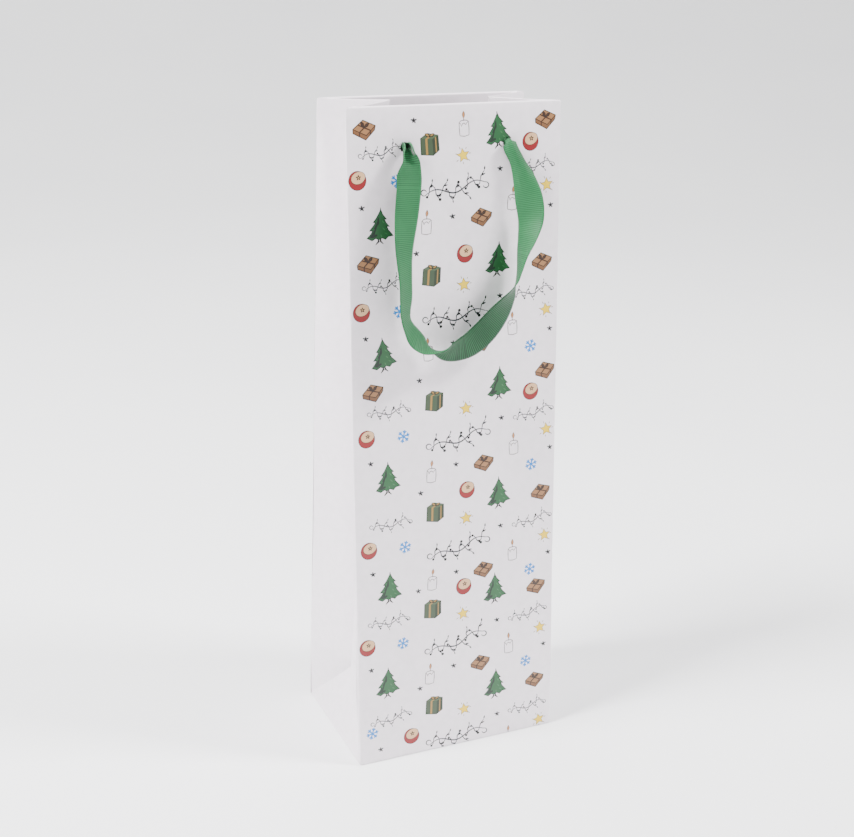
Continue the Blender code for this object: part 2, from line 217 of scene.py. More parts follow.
class Nodes:
    """Short calls for making a material's node tree."""

    def __init__(self, name):
        self.material = bpy.data.materials.new(name)
        self.material.use_nodes = True
        self.tree = self.material.node_tree
        self.shader = self.tree.nodes["Principled BSDF"]

    def add(self, kind, **settings):
        node = self.tree.nodes.new(f"ShaderNode{kind}")
        for name, value in settings.items():
            setattr(node, name, value)
        return node

    def link(self, source, target):
        self.tree.links.new(source, target)

    def set(self, **values):
        """Sets inputs of the shader, whose names are given with _ for a space."""
        for name, value in values.items():
            self.shader.inputs[name.replace("_", " ")].default_value = value

    def feed(self, **sources):
        """Links to inputs of the shader, named in the same way."""
        for name, source in sources.items():
            self.link(source, self.shader.inputs[name.replace("_", " ")])

    def noise(self, scale, detail=3.0, stretch=(1.0, 1.0, 1.0)):
        """Noise over the object's own space, scale in cycles a metre."""
        where = self.add("TexCoord")
        mapping = self.add("Mapping")
        mapping.inputs["Scale"].default_value = stretch
        noise = self.add("TexNoise")
        noise.inputs["Scale"].default_value = scale
        noise.inputs["Detail"].default_value = detail
        self.link(where.outputs["Object"], mapping.inputs["Vector"])
        self.link(mapping.outputs["Vector"], noise.inputs["Vector"])
        return noise.outputs["Fac"]

    def ramp(self, source, low, high, start=0.3, end=0.7):
        """A colour between two, as source goes from start to end."""
        ramp = self.add("ValToRGB")
        stops = ramp.color_ramp.elements
        stops[0].position, stops[0].color = start, low
        stops[1].position, stops[1].color = end, high
        self.link(source, ramp.inputs["Fac"])
        return ramp.outputs["Color"]

    def between(self, source, low, high):
        """A value from low to high as source goes from 0.3 to 0.7."""
        span = self.add("MapRange")
        for end, value in (("From Min", 0.3), ("From Max", 0.7), ("To Min", low), ("To Max", high)):
            span.inputs[end].default_value = value
        self.link(source, span.inputs["Value"])
        return span.outputs["Result"]

    def bump(self, height, strength, distance, under=None):
        bump = self.add("Bump")
        bump.inputs["Strength"].default_value = strength
        bump.inputs["Distance"].default_value = distance
        self.link(height, bump.inputs["Height"])
        if under is not None:
            self.link(under, bump.inputs["Normal"])
        return bump.outputs["Normal"]


def paper_finish(nodes, roughness):
    """Coated paper: a faint fibre texture under a satin surface that varies a little."""
    nodes.set(Specular_IOR_Level=PAPER_SPECULAR)
    smear = nodes.noise(38.0, 4.0)
    nodes.feed(Roughness=nodes.between(smear, roughness - 0.05, roughness + 0.07))
    fibre = nodes.noise(1500.0, 2.0, (1.0, 1.0, 0.45))
    cockle = nodes.noise(55.0, 2.0)
    slow = nodes.bump(cockle, 0.35, 0.0006)
    nodes.feed(Normal=nodes.bump(fibre, 0.22, 0.00004, slow))


def make_paper(name, roughness):
    nodes = Nodes(name)
    mottle = nodes.noise(240.0, 6.0)
    nodes.feed(Base_Color=nodes.ramp(mottle, PAPER_SHADE, PAPER_WHITE))
    paper_finish(nodes, roughness)
    return nodes.material


def make_ink(name):
    """A printed ink, with the surface of the paper that it lies on."""
    nodes = Nodes(f"ink_{name}")
    nodes.set(Base_Color=linear(*INKS[name]))
    paper_finish(nodes, PRINT_ROUGHNESS)
    return nodes.material


def make_card(name):
    """Grey board: pressed fibres and darker flecks."""
    nodes = Nodes(name)
    fibres = nodes.noise(900.0, 8.0, (1.0, 3.0, 1.0))
    nodes.feed(Base_Color=nodes.ramp(fibres, CARD_DARK, CARD_LIGHT, 0.35, 0.6))
    nodes.feed(Roughness=nodes.between(fibres, 0.75, 0.95))
    nodes.feed(Normal=nodes.bump(fibres, 0.5, 0.00012))
    return nodes.material


def make_ribbon_material(name):
    """Grosgrain: the ribs' crests are painted lighter, as a painted highlight, and their valleys
    darker, as painted shade, and fine threads cross between them.
    """
    nodes = Nodes(name)
    # Painted light in the ribbon's colour: a painted highlight on the ribs' crests and painted shade
    # in their valleys and on its other face
    painted_light = nodes.add("Attribute", attribute_name="painted_light").outputs["Fac"]
    thread = nodes.noise(2600.0, 3.0)
    smear = nodes.noise(90.0, 3.0)
    mixed = nodes.add("Math", operation="MULTIPLY_ADD")
    nodes.link(thread, mixed.inputs[0])
    mixed.inputs[1].default_value = 0.45
    nodes.link(painted_light, mixed.inputs[2])
    faded = nodes.add("Math", operation="MULTIPLY_ADD")
    nodes.link(smear, faded.inputs[0])
    faded.inputs[1].default_value = 0.35
    nodes.link(mixed.outputs[0], faded.inputs[2])
    nodes.feed(Base_Color=nodes.ramp(faded.outputs[0], RIBBON_DARK, RIBBON_LIGHT, 0.35, 1.15))
    nodes.feed(Roughness=nodes.between(thread, 0.52, 0.72))
    nodes.set(Sheen_Weight=0.08, Sheen_Roughness=0.4, Specular_IOR_Level=0.35)
    nodes.feed(Normal=nodes.bump(thread, 0.4, 0.00006))
    return nodes.material


# ---- the folded sheet's shape


def clamp(value):
    return min(1.0, max(0.0, value))


def top_tip():
    """The upper end of a gusset's centre crease: as far from its lower end and from the front's
    top corner as they are on the flat sheet."""
    reach = math.sqrt(HALF_DEPTH**2 - CORNER_TOP.y**2)
    crease = HEIGHT - HALF_DEPTH
    towards = Vector((CORNER_TOP.x, 0.0, CORNER_TOP.z)) - TIP_LOW
    span = towards.length
    share = (crease**2 - reach**2 + span**2) / (2 * span)
    unit = towards.normalized()
    across = Vector((unit.z, 0.0, -unit.x))
    return TIP_LOW + unit * share + across * math.sqrt(crease**2 - share**2)


TIP_TOP = top_tip()


def panel_point(across, up, proud=0.0):
    """A point on or off the front, from its place across, up its slope and proud of it."""
    y = -HALF_DEPTH + up * CORNER_UP.y - proud * CORNER_UP.z
    return Vector((across, y, up * CORNER_UP.z + proud * CORNER_UP.y))


class GussetShape:
    """The left gusset's front half, from (distance from the corner, height) on the flat sheet.

    A flat triangle stands on the corner and another on the centre crease. The slanting crease
    between them is bent softly, and sharper towards its ends.
    """

    def __init__(self):
        self.lower_across = (TIP_LOW - CORNER_LOW) / HALF_DEPTH - CORNER_UP
        self.upper_across = (TIP_TOP - CORNER_TOP) / HALF_DEPTH
        self.upper_up = (TIP_TOP - TIP_LOW) / (HEIGHT - HALF_DEPTH)
        slant = Vector((HALF_DEPTH, HALF_DEPTH - HEIGHT))
        self.length = slant.length
        self.along = slant / self.length
        self.across = Vector((-self.along.y, self.along.x))
        self.lower_slope = self.lower_across * self.across.x + CORNER_UP * self.across.y
        self.upper_slope = self.upper_across * self.across.x + self.upper_up * self.across.y

    def lower(self, u, v):
        return CORNER_LOW + self.lower_across * u + CORNER_UP * v

    def upper(self, u, v):
        return CORNER_TOP + self.upper_across * u + self.upper_up * (v - HEIGHT)

    def bent(self, u, v):
        place = Vector((u, v - HEIGHT))
        off = place.dot(self.across)
        down = place.dot(self.along)
        soft = min(SLANT_SOFTNESS, SLANT_SPREAD * down, SLANT_SPREAD * (self.length - down))
        if off <= -soft or soft <= 0 and off <= 0:
            return self.lower(u, v)
        if off >= soft:
            return self.upper(u, v)
        foot = place - self.across * off
        crease = self.lower(foot.x, foot.y + HEIGHT)
        rise = self.upper_slope * (off + soft) ** 2 - self.lower_slope * (off - soft) ** 2
        return crease + rise / (4 * soft)


GUSSET = GussetShape()

# The flat bag's level crease, at half its depth up each gusset, stands out as a blunt ridge
RIDGE_HEIGHT = 0.0042
RIDGE_FADE = 0.085  # above the crease

# At the mouth the gusset's centre crease has sprung outwards and up from where a flat fold puts it
TIP_EASE = Vector((-0.0050, 0.0, 0.0028))
TIP_FADE = 0.110  # below the mouth

# The paper's slow waves die out over these lengths towards its creases and the mouth
WAVE_FROM_CREASE = 0.06
WAVE_FROM_MOUTH = 0.05
WAVE_FROM_FOOT = 0.03
GUSSET_WAVE = 0.0005
WALL_WAVE = 0.00045


def gusset_point(u, v):
    """The gusset half with its level crease and the slow waves of a sheet that has been opened."""
    place = GUSSET.bent(u, v)
    share = clamp(u / HALF_DEPTH)
    width = math.sin(math.pi * share) ** 0.6 if 0 < share < 1 else 0.0
    if v < HALF_DEPTH:
        rise = max(0.0, (v - u) / max(HALF_DEPTH - u, 1e-6))
    else:
        rise = max(0.0, 1 - (v - HALF_DEPTH) / RIDGE_FADE) ** 2
    wave = GUSSET_WAVE * math.sin(v * 31 + 0.8) * math.sin(v * 13 + u * 40)
    fade = clamp((v - HALF_DEPTH) / WAVE_FROM_CREASE) * clamp((HEIGHT - v) / WAVE_FROM_MOUTH)
    inwards = GUSSET.lower_across.cross(CORNER_UP).normalized()
    ease = max(0.0, 1 - (HEIGHT - v) / TIP_FADE) ** 2 * share**1.5
    return place + TIP_EASE * ease - inwards * (width * (RIDGE_HEIGHT * rise + wave * fade))


def foot_point(a, b):
    """The left gusset's bottom triangle, from the place along its base and up its slope."""
    rise = TIP_LOW - Vector((CORNER_LOW.x, 0.0, 0.0))
    return Vector((CORNER_LOW.x, a, 0.0)) + rise * (b / HALF_DEPTH)


# The card in the hem shows through the front as a low step, and the front is not quite flat
HEM_STEP = 0.00022
HEM_STEP_LEFT = 0.0455  # below the top
HEM_STEP_RIGHT = 0.0400
HEM_STEP_LENGTH = 0.0012


def wall_point(x, v):
    """The front, rounded at its corners on to the gussets."""
    limit = HALF_WIDTH - CORNER_REACH
    side = abs(x)
    if side <= limit:
        share = x / limit
        edge = (1 - share**2) * clamp(v / WAVE_FROM_FOOT) * clamp((HEIGHT - v) / WAVE_FROM_MOUTH)
        waves = math.sin(19 * v + 1.3 + 14 * x) + 0.6 * math.sin(43 * x - 11 * v + 0.5)
        waves += 0.5 * math.sin(37 * v - 25 * x + 2.1)
        drop = HEM_STEP_LEFT + (HEM_STEP_RIGHT - HEM_STEP_LEFT) * (0.5 + x / (2 * HALF_WIDTH))
        step = clamp((v - (HEIGHT - drop)) / HEM_STEP_LENGTH + 0.5)
        step *= min(1.0, (1 - abs(share)) * 14)
        return panel_point(x, v, WALL_WAVE * edge * waves + HEM_STEP * step)
    turn = math.copysign(1.0, x)
    share = (side - limit) / CORNER_LENGTH
    start = panel_point(turn * limit, v)
    corner = panel_point(turn * HALF_WIDTH, v)
    end = gusset_point(CORNER_REACH, max(v, CORNER_REACH))
    end.x *= -turn
    return start * (1 - share) ** 2 + corner * (2 * share * (1 - share)) + end * share**2


class Section:
    """How a sheet runs up its wall, over at the mouth and down inside, as lengths t along it.

    On the wall itself t is the height. The foot is turned under and the top is folded round to a
    hem that lies its stack behind the face.
    """

    def __init__(self, stack, foot=True, lift=WALL_LIFT):
        self.fold = stack / 2
        self.lift = lift
        self.low = FOOT_RADIUS * (1 - math.pi / 2) if foot else 0.0
        self.bend = HEIGHT - self.fold
        self.hem = self.bend + math.pi * self.fold
        self.end = self.hem + HEM_DEPTH - self.fold

    def at(self, t):
        """(height, depth behind the face, and the direction into the sheet in the same two)."""
        if t < FOOT_RADIUS and self.low < 0:
            angle = (FOOT_RADIUS - t) / FOOT_RADIUS
            height = FOOT_RADIUS * (1 - math.sin(angle)) + self.lift
            return height, FOOT_RADIUS * (1 - math.cos(angle)), math.sin(angle), math.cos(angle)
        if t <= self.bend:
            return t, 0.0, 0.0, 1.0
        if t < self.hem:
            angle = (t - self.bend) / self.fold
            height = self.bend + self.fold * math.sin(angle)
            return height, self.fold * (1 - math.cos(angle)), -math.sin(angle), math.cos(angle)
        return self.bend - (t - self.hem), 2 * self.fold, 0.0, -1.0

    def rows(self, step):
        """Lengths at which the sheet gets a row of points, closer together round its bends."""
        rows = []
        if self.low < 0:
            rows += [self.low + (FOOT_RADIUS - self.low) * i / 5 for i in range(6)]
        rows += [step * i for i in range(1, int(self.bend / step))]
        rows += [self.bend + (self.hem - self.bend) * i / 8 for i in range(9)]
        rows += [self.hem + (self.end - self.hem) * i / 9 for i in range(1, 10)]
        return rows


# ---- sheets of paper


def mirrored(point, flip_x, flip_y):
    return Vector((-point.x if flip_x else point.x, -point.y if flip_y else point.y, point.z))


def turned(point, is_back):
    """Takes the front to the back by half a turn about +Z."""
    return mirrored(point, is_back, is_back)


def new_object(name, data, materials=()):
    for material in materials:
        data.materials.append(material)
    item = bpy.data.objects.new(name, data)
    bpy.context.scene.collection.objects.link(item)
    return item


def face_outwards(mesh):
    solid = bmesh.new()
    solid.from_mesh(mesh)
    bmesh.ops.recalc_face_normals(solid, faces=solid.faces)
    solid.to_mesh(mesh)
    solid.free()
    mesh.shade_smooth()


def signed_area(points):
    """Twice a polygon's area, above zero where its corners run anticlockwise."""
    before = [points[-1], *points[:-1]]
    return sum(x0 * y1 - x1 * y0 for (x0, y0), (x1, y1) in zip(before, points))


def triangulated(outline, columns, rows, shapes):
    """Flat triangles inside outline, as (points, [(corner, corner, corner, ink)]). shapes are the
    (ink, polygon) pairs printed on it, the last one on top. An ink of None is a hole."""
    points = [Vector(p) / MM for p in outline]
    faces = [list(range(len(points)))]
    inks = ["paper"]
    for ink, polygon in shapes:
        faces.append(list(range(len(points), len(points) + len(polygon))))
        points += [Vector(p) / MM for p in (polygon if signed_area(polygon) > 0 else polygon[::-1])]
        inks.append(ink)
    points += [Vector((u, t)) / MM for u in columns for t in rows]
    flat, _, made, _, _, origins = delaunay_2d_cdt(points, [], faces, 1, 1e-4)
    triangles = []
    for corners, sources in zip(made, origins):
        if 0 not in sources:
            continue
        ink = inks[max(sources)]
        if ink is not None:
            triangles.append((*corners, ink))
    return [p * MM for p in flat], triangles


def paper_sheet(name, blank, section, shape, facing, flip, materials):
    """A closed sheet of paper, folded from its flat blank.

    shape(u, height) is the wall's face, and facing is 1 where its outside is to the right of u
    going up, or -1. flip is how the finished place is taken to the other walls.
    """
    flat, triangles = blank
    outer = []
    inner = []
    for u, t in flat:
        height, depth, into_height, into_depth = section.at(t)
        place = shape(u, height)
        along = shape(u + PROBE, height) - shape(u - PROBE, height)
        upwards = shape(u, height + PROBE) - shape(u, height - PROBE)
        normal = along.cross(upwards).normalized() * facing
        upwards.normalize()
        face = place - normal * depth
        outer.append(flip(face))
        inner.append(flip(face + upwards * (PAPER * into_height) - normal * (PAPER * into_depth)))
    used = sorted({corner for face in triangles for corner in face[:3]})
    index = {corner: i for i, corner in enumerate(used)}
    count = len(used)
    slots = {ink: i for i, ink in enumerate(materials)}
    verts = [outer[c] for c in used] + [inner[c] for c in used]
    faces = []
    inks = []
    open_edges = {}
    for a, b, c, ink in triangles:
        a, b, c = index[a], index[b], index[c]
        faces.append((a, b, c))
        inks.append(slots[ink])
        faces.append((c + count, b + count, a + count))
        inks.append(0)
        for start, end in ((a, b), (b, c), (c, a)):
            if (end, start) in open_edges:
                del open_edges[(end, start)]
            else:
                open_edges[(start, end)] = True
    for start, end in open_edges:
        faces.append((end, start, start + count, end + count))
        inks.append(0)
    mesh = bpy.data.meshes.new(name)
    mesh.from_pydata(verts, [], faces)
    mesh.polygons.foreach_set("material_index", inks)
    face_outwards(mesh)
    mesh.set_sharp_from_angle(angle=SHARP_ANGLE)
    return new_object(name, mesh, list(materials.values()))


# ---- print


def rotated(a, b, angle, x, y):
    """The point (a, b) turned by angle and moved by (x, y)."""
    cosine, sine = math.cos(angle), math.sin(angle)
    return x + a * cosine - b * sine, y + a * sine + b * cosine


def polar(reach, angle, x=0.0, y=0.0):
    """The point at this reach and angle from (x, y)."""
    return x + reach * math.cos(angle), y + reach * math.sin(angle)


def ring(x, y, wide, high, count=16, tilt=0.0):
    """An ellipse about (x, y) with the given half sizes."""
    angles = [2 * math.pi * i / count for i in range(count)]
    return [rotated(wide * math.cos(a), high * math.sin(a), tilt, x, y) for a in angles]


def grown(points, by):
    """A polygon's outline moved outwards, for the line drawn round it."""
    count = len(points)
    side = 1.0 if signed_area(points) > 0 else -1.0
    moved = []
    for i, (x, y) in enumerate(points):
        back = Vector((x - points[i - 1][0], y - points[i - 1][1])).normalized()
        on = Vector((points[(i + 1) % count][0] - x, points[(i + 1) % count][1] - y)).normalized()
        normal = Vector((back.y + on.y, -back.x - on.x)) * side
        length = max(normal.length_squared / 2, 0.35)
        moved.append((x + normal.x * by / length, y + normal.y * by / length))
    return moved


def stroke(points, width, taper=0.35):
    """A pen stroke along points, thinner at its ends."""
    left = []
    right = []
    last = len(points) - 1
    for i, point in enumerate(points):
        before = Vector(points[max(i - 1, 0)])
        after = Vector(points[min(i + 1, last)])
        side = (after - before).normalized()
        half = width / 2 * (taper + (1 - taper) * math.sin(math.pi * i / last) if last > 1 else 0.8)
        left.append((point[0] - side.y * half, point[1] + side.x * half))
        right.append((point[0] + side.y * half, point[1] - side.x * half))
    return left + right[::-1]


def leaf(x, y, angle, length, width):
    """A pointed leaf from (x, y) in the direction of angle."""
    points = []
    for i in range(8):
        share = i / 4 if i <= 4 else (8 - i) / 4
        bulge = width / 2 * math.sin(math.pi * share) * (1 if i <= 4 else -1)
        points.append(rotated(length * share, bulge, angle, x, y))
    return points


def draw_fir():
    """A fir with three ragged tiers."""
    body = [
        (0.2, 8.2), (1.3, 6.0), (2.9, 4.2), (1.9, 4.1), (2.9, 2.2), (4.8, 0.4), (3.3, 0.6),
        (4.4, -1.6), (6.8, -4.2), (4.6, -4.6), (3.2, -6.0), (1.4, -5.2), (-0.4, -6.2), (-2.0, -5.4),
        (-4.0, -6.6), (-6.3, -5.6), (-4.6, -3.8), (-3.4, -1.8), (-5.0, -1.7), (-3.5, 0.2),
        (-2.1, 2.2), (-3.2, 2.5), (-1.9, 4.2), (-0.9, 6.0),
    ]
    shade = [
        (-0.6, 5.4), (-0.4, 2.0), (-1.4, -1.0), (-1.2, -4.6), (-3.6, -5.6), (-5.4, -5.1),
        (-3.6, -2.8), (-2.6, -1.0), (-3.2, -0.8), (-1.9, 1.6), (-1.3, 3.2), (-1.6, 3.6),
    ]
    tufts = ((1.0, 3.4, -0.9), (1.4, -0.2, -0.8), (2.6, -2.8, -0.5), (0.6, -3.6, -1.2))
    return [
        ("wood", stroke([(-0.3, -5.0), (-0.5, -7.4), (-2.0, -9.0)], 1.1)),
        ("wood", stroke([(0.5, -5.0), (0.6, -7.2), (2.2, -8.6)], 1.0)),
        ("fir_dark", stroke([(0.1, 9.8), (0.1, 8.8), (0.2, 7.6)], 0.6)),
        ("fir_dark", grown(body, 0.42)),
        ("fir_green", body), ("fir_dark", shade),
        ("fir_green", [(-1.0, 1.4), (-0.8, -3.6), (-2.6, -3.8), (-1.9, -1.2)]),
        *(("fir_light", leaf(x, y, angle, 2.1, 0.6)) for x, y, angle in tufts),
    ]


def draw_parcel():
    """A flat parcel tied with string, seen from above its corner."""
    top = [(-5.6, -0.6), (-0.8, 3.9), (5.7, 1.6), (1.4, -3.2)]
    left = [(-5.6, -0.6), (1.4, -3.2), (1.2, -5.2), (-5.4, -2.4)]
    right = [(1.4, -3.2), (5.7, 1.6), (5.4, -0.3), (1.2, -5.2)]
    outline = [(-5.6, -0.6), (-0.8, 3.9), (5.7, 1.6), (5.4, -0.3), (1.2, -5.2), (-5.4, -2.4)]
    rim = [(-5.6, -0.6), (-2.0, -2.0), (1.4, -3.2), (3.5, -0.9), (5.7, 1.6)]
    return [
        ("parcel_line", grown(outline, 0.42)),
        ("parcel_top", top), ("parcel_side", left), ("parcel_side", right),
        ("parcel_line", stroke(rim, 0.45, 0.8)),
        ("parcel_band", stroke([(-3.2, 1.65), (-0.2, 0.6), (3.6, -0.75), (3.4, -2.7)], 0.75, 0.8)),
        ("parcel_band", stroke([(2.5, 2.75), (0.0, 0.35), (-2.2, -1.85), (-2.1, -3.8)], 0.75, 0.8)),
        ("parcel_line", leaf(0.1, 0.6, 2.2, 3.6, 1.9)),
        ("parcel_line", leaf(0.1, 0.6, 0.75, 3.4, 1.9)),
        ("parcel_band", leaf(-0.2, 1.1, 2.2, 2.2, 0.8)),
        ("parcel_band", leaf(0.5, 1.1, 0.75, 2.0, 0.8)),
        ("parcel_line", ring(0.1, 0.7, 0.7, 0.6, 8)),
    ]


def draw_present():
    """A tall gift box with crossed gold bands and a bow."""
    front = [(-4.9, -4.9), (1.6, -5.9), (1.6, 2.1), (-4.7, 2.9)]
    side = [(1.6, -5.9), (4.9, -3.6), (4.8, 3.6), (1.6, 2.1)]
    lid = [(-4.7, 2.9), (1.6, 2.1), (4.8, 3.6), (-0.9, 5.0)]
    outline = [(-4.9, -4.9), (1.6, -5.9), (4.9, -3.6), (4.8, 3.6), (-0.9, 5.0), (-4.7, 2.9)]
    return [
        ("present_line", grown(outline, 0.34)),
        ("present_face", front), ("present_side", side), ("present_top", lid),
        ("gold", [(-2.3, -5.25), (-1.2, -5.42), (-1.1, 2.35), (-2.2, 2.5)]),
        ("gold", [(3.1, -4.75), (3.7, -4.4), (3.7, 3.0), (3.1, 2.7)]),
        ("gold", [(-2.2, 2.5), (-1.1, 2.35), (2.4, 4.1), (1.3, 4.4)]),
        ("parcel_line", leaf(0.3, 3.3, 2.5, 3.3, 1.9)),
        ("parcel_line", leaf(0.3, 3.3, 0.5, 3.1, 1.8)),
        ("gold", leaf(0.0, 3.6, 2.5, 2.4, 1.0)),
        ("gold", leaf(0.6, 3.6, 0.5, 2.2, 0.9)),
        ("parcel_line", ring(0.3, 3.5, 0.55, 0.5, 8)),
    ]


def draw_apple():
    """Half an apple, cut face up."""
    return [
        ("apple_line", ring(0.0, 0.0, 4.75, 4.9, 22)),
        ("apple_red", ring(0.0, 0.0, 4.45, 4.6, 22)),
        ("apple_line", ring(0.5, 1.3, 3.95, 3.15, 20, 0.35)),
        ("apple_flesh", ring(0.5, 1.35, 3.7, 2.9, 20, 0.35)),
        *(("core", leaf(0.6, 1.5, math.radians(90 + 72 * i), 1.5, 0.8)) for i in range(5)),
        ("apple_flesh", ring(0.6, 1.5, 0.3, 0.3, 6)),
    ]


def draw_star():
    """A small star with short rays round it."""
    points = [polar((3.3, 1.55)[i % 2], math.radians(97 + 36 * i)) for i in range(10)]
    shapes = [("star_line", grown(points, 0.26)), ("star_yellow", points)]
    for i in range(7):
        angle = math.radians(62 + 51.4 * i)
        near, far = 3.3, 4.5 + 0.4 * (i % 2)
        ray = [polar(reach, angle) for reach in (near, (near + far) / 2, far)]
        shapes.append(("star_line", stroke(ray, 0.42)))
    return shapes


def draw_candle():
    """A candle in outline, with a lick of flame."""
    lines = [
        [(-2.6, 1.2), (-2.7, -2.0), (-2.6, -5.4)],
        [(2.6, 1.4), (2.7, -2.0), (2.5, -5.4)],
        [(-2.6, -5.4), (0.0, -5.9), (2.5, -5.4)],
        [(-2.6, 1.2), (-1.5, 2.0), (0.0, 2.2), (1.5, 2.0), (2.6, 1.4)],
        [
            (-2.6, 1.2), (-1.8, 0.4), (-1.4, -0.9), (-0.9, 0.4),
            (0.2, 0.7), (1.0, -0.2), (1.6, 0.7), (2.6, 1.4),
        ],
        [(0.0, 1.8), (0.1, 2.6), (0.0, 3.4)],
    ]
    shapes = [("candle_line", stroke(line, 0.42, 0.7)) for line in lines]
    shapes.append(("candle_line", leaf(0.0, 2.9, math.radians(87), 4.0, 1.7)))
    shapes.append(("flame", leaf(0.0, 3.2, math.radians(87), 3.2, 1.1)))
    return shapes


def draw_flake():
    """A snow crystal with six forked arms."""
    lines = []
    for i in range(6):
        angle = math.radians(15 + 60 * i)
        out = Vector((math.cos(angle), math.sin(angle)))
        side = Vector((-out.y, out.x))
        lines.append(stroke([out * 0.5, out * 2.0, out * 3.6], 0.9, 0.8))
        for turn in (-1, 1):
            fork = [out * 1.9, out * 2.5 + side * (0.55 * turn), out * 3.0 + side * (1.1 * turn)]
            lines.append(stroke(fork, 0.75, 0.7))
    lines.append(ring(0.0, 0.0, 0.7, 0.7, 8))
    return [("ice_blue", line) for line in lines]


def draw_spark():
    """A tiny inked asterisk."""
    lines = []
    for i, reach in enumerate((1.7, 1.4, 1.7, 1.3, 1.6)):
        end = polar(reach, math.radians(20 + 72 * i))
        lines.append(stroke([(0.0, 0.0), (end[0] / 2, end[1] / 2), end], 0.85, 0.7))
    return [("black", line) for line in lines]


def draw_garland(length, height, sprigs):
    """A waving twig with leaves and berries on both sides and a curl at each end."""

    def stem(share):
        return length * (share - 0.5), height * 0.16 * math.sin(2 * math.pi * share * 1.5)

    pen = height * 0.055
    lines = [stroke([stem(i / 24) for i in range(25)], pen * 1.2, 0.5)]
    for end, turn in ((0.0, -1.0), (1.0, 1.0)):
        x, y = stem(end)
        curl = []
        for i in range(12):
            angle = math.pi * (0.5 + 1.35 * i / 11)
            reach = turn * height * 0.2 * (1 - 0.045 * i)
            curl.append((x - reach * math.cos(angle), y + reach * (math.sin(angle) - 1)))
        lines.append(stroke(curl, pen, 0.5))
    for i in range(sprigs):
        share = (i + 0.7) / (sprigs + 0.4)
        x, y = stem(share)
        up = 1 if i % 2 == 0 else -1
        angle = up * math.radians(62 + 14 * math.sin(2.3 * i))
        size = height * (0.42 + 0.06 * math.sin(1.7 * i))
        tip = polar(size, angle, x, y)
        middle = polar(size * 0.45, angle * 1.25, x, y)
        lines.append(stroke([(x, y), middle, tip], pen, 0.6))
        lines.append(leaf(middle[0], middle[1], angle - up * 0.7, size * 0.5, size * 0.17))
        if i % 3 == 1:
            lines.append(ring(tip[0], tip[1], pen * 1.3, pen * 1.3, 8))
        else:
            lines.append(leaf(tip[0], tip[1], angle + up * 0.3, size * 0.42, size * 0.16))
        berry = (x - size * 0.3, y - up * size * 0.42)
        stalk = [(x, y), (x - size * 0.08, y - up * size * 0.22), berry]
        lines.append(stroke(stalk, pen * 0.8, 0.6))
        lines.append(ring(berry[0], berry[1], pen * 1.1, pen * 1.1, 8))
    return [("black", line) for line in lines]


MOTIFS = {
    "fir": draw_fir(),
    "parcel": draw_parcel(),
    "present": draw_present(),
    "apple": draw_apple(),
    "star": draw_star(),
    "candle": draw_candle(),
    "flake": draw_flake(),
    "spark": draw_spark(),
    "garland": draw_garland(34.0, 12.0, 9),
    "small_garland": draw_garland(22.0, 8.0, 8),
}
TILTS = {"garland": 9.0, "small_garland": 9.0}
TILT_CHANGE = 4.0  # degrees either way, from one motif to the next

# One repeat of the print, about the middle of its long garland, in millimetres
REPEAT = (
    ("garland", 0.0, 0.0), ("small_garland", -40.0, 20.0), ("small_garland", 45.0, 9.7),
    ("present", -14.0, 23.3), ("fir", 24.0, 28.3), ("fir", -41.5, -16.8),
    ("star", 4.5, 16.7), ("star", 53.0, -0.7), ("candle", 33.0, -7.0), ("candle", -16.0, -16.5),
    ("spark", 25.5, 9.0), ("spark", -51.0, -7.0), ("spark", 55.5, -11.5), ("spark", -1.5, -14.0),
    ("spark", -22.5, 35.0), ("parcel", 15.0, -14.8), ("flake", 44.0, -20.0),
)
# What each kind of repeat adds to that
EDGE_PAIR = (("apple", -53.0, 6.8), ("flake", -32.0, 5.7))
SIDE_PARCEL = ("parcel", -49.0, 32.0)
EXTRAS = {
    "odd": (("apple", 43.0, 22.0), ("parcel", 51.5, 33.5), SIDE_PARCEL, *EDGE_PAIR),
    "even": (("apple", 5.0, 33.0), ("parcel", 50.0, 26.0), SIDE_PARCEL, *EDGE_PAIR),
    "close": (("apple", 5.0, 33.0), ("parcel", 50.0, 26.0), *EDGE_PAIR),
    "foot": (
        ("apple", -28.0, 6.6), ("parcel", 49.5, 26.4), ("flake", -51.5, 13.4), ("spark", -46.7, 2.4),
    ),
    "mouth": (
        ("apple", 43.0, 22.0), ("parcel", 51.5, 33.5), ("candle", 5.0, 32.0), SIDE_PARCEL, *EDGE_PAIR,
    ),
    "hem": (("spark", -23.5, -23.5), *EDGE_PAIR),
}
# Height of each repeat up the sheet, its shift to the right, and which extras it has
ROWS = (
    (5.0, -0.6, "foot"), (64.0, -1.0, "close"), (120.5, 1.0, "close"), (183.0, 1.0, "odd"),
    (250.5, -0.4, "even"), (317.3, -1.2, "mouth"), (392.0, 0.0, "hem"),
)


def holes(section):
    """The two ribbon holes through the face and through the hem, as cut-outs."""
    shapes = []
    height = HEIGHT - HOLE_BELOW_TOP
    for t in (height, section.hem + section.bend - height):
        for x in (-HOLE_SPACING / 2, HOLE_SPACING / 2):
            shapes.append((None, ring(x, t, HOLE_RADIUS, HOLE_RADIUS, 24)))
    return shapes


def winter_print(section):
    """The whole print as (ink, polygon) pairs on the flat sheet, in metres."""
    shapes = []
    for up, shift, extras in ROWS:
        for motif, x, y in REPEAT + EXTRAS[extras]:
            angle = math.radians(TILTS.get(motif, 0.0) + TILT_CHANGE * math.sin(x + up))
            for ink, polygon in MOTIFS[motif]:
                placed = [rotated(a, b, angle, x + shift, y + up) for a, b in polygon]
                shapes.append((ink, [(a * MM, b * MM) for a, b in placed]))
    return shapes + holes(section)


# ---- walls and gussets


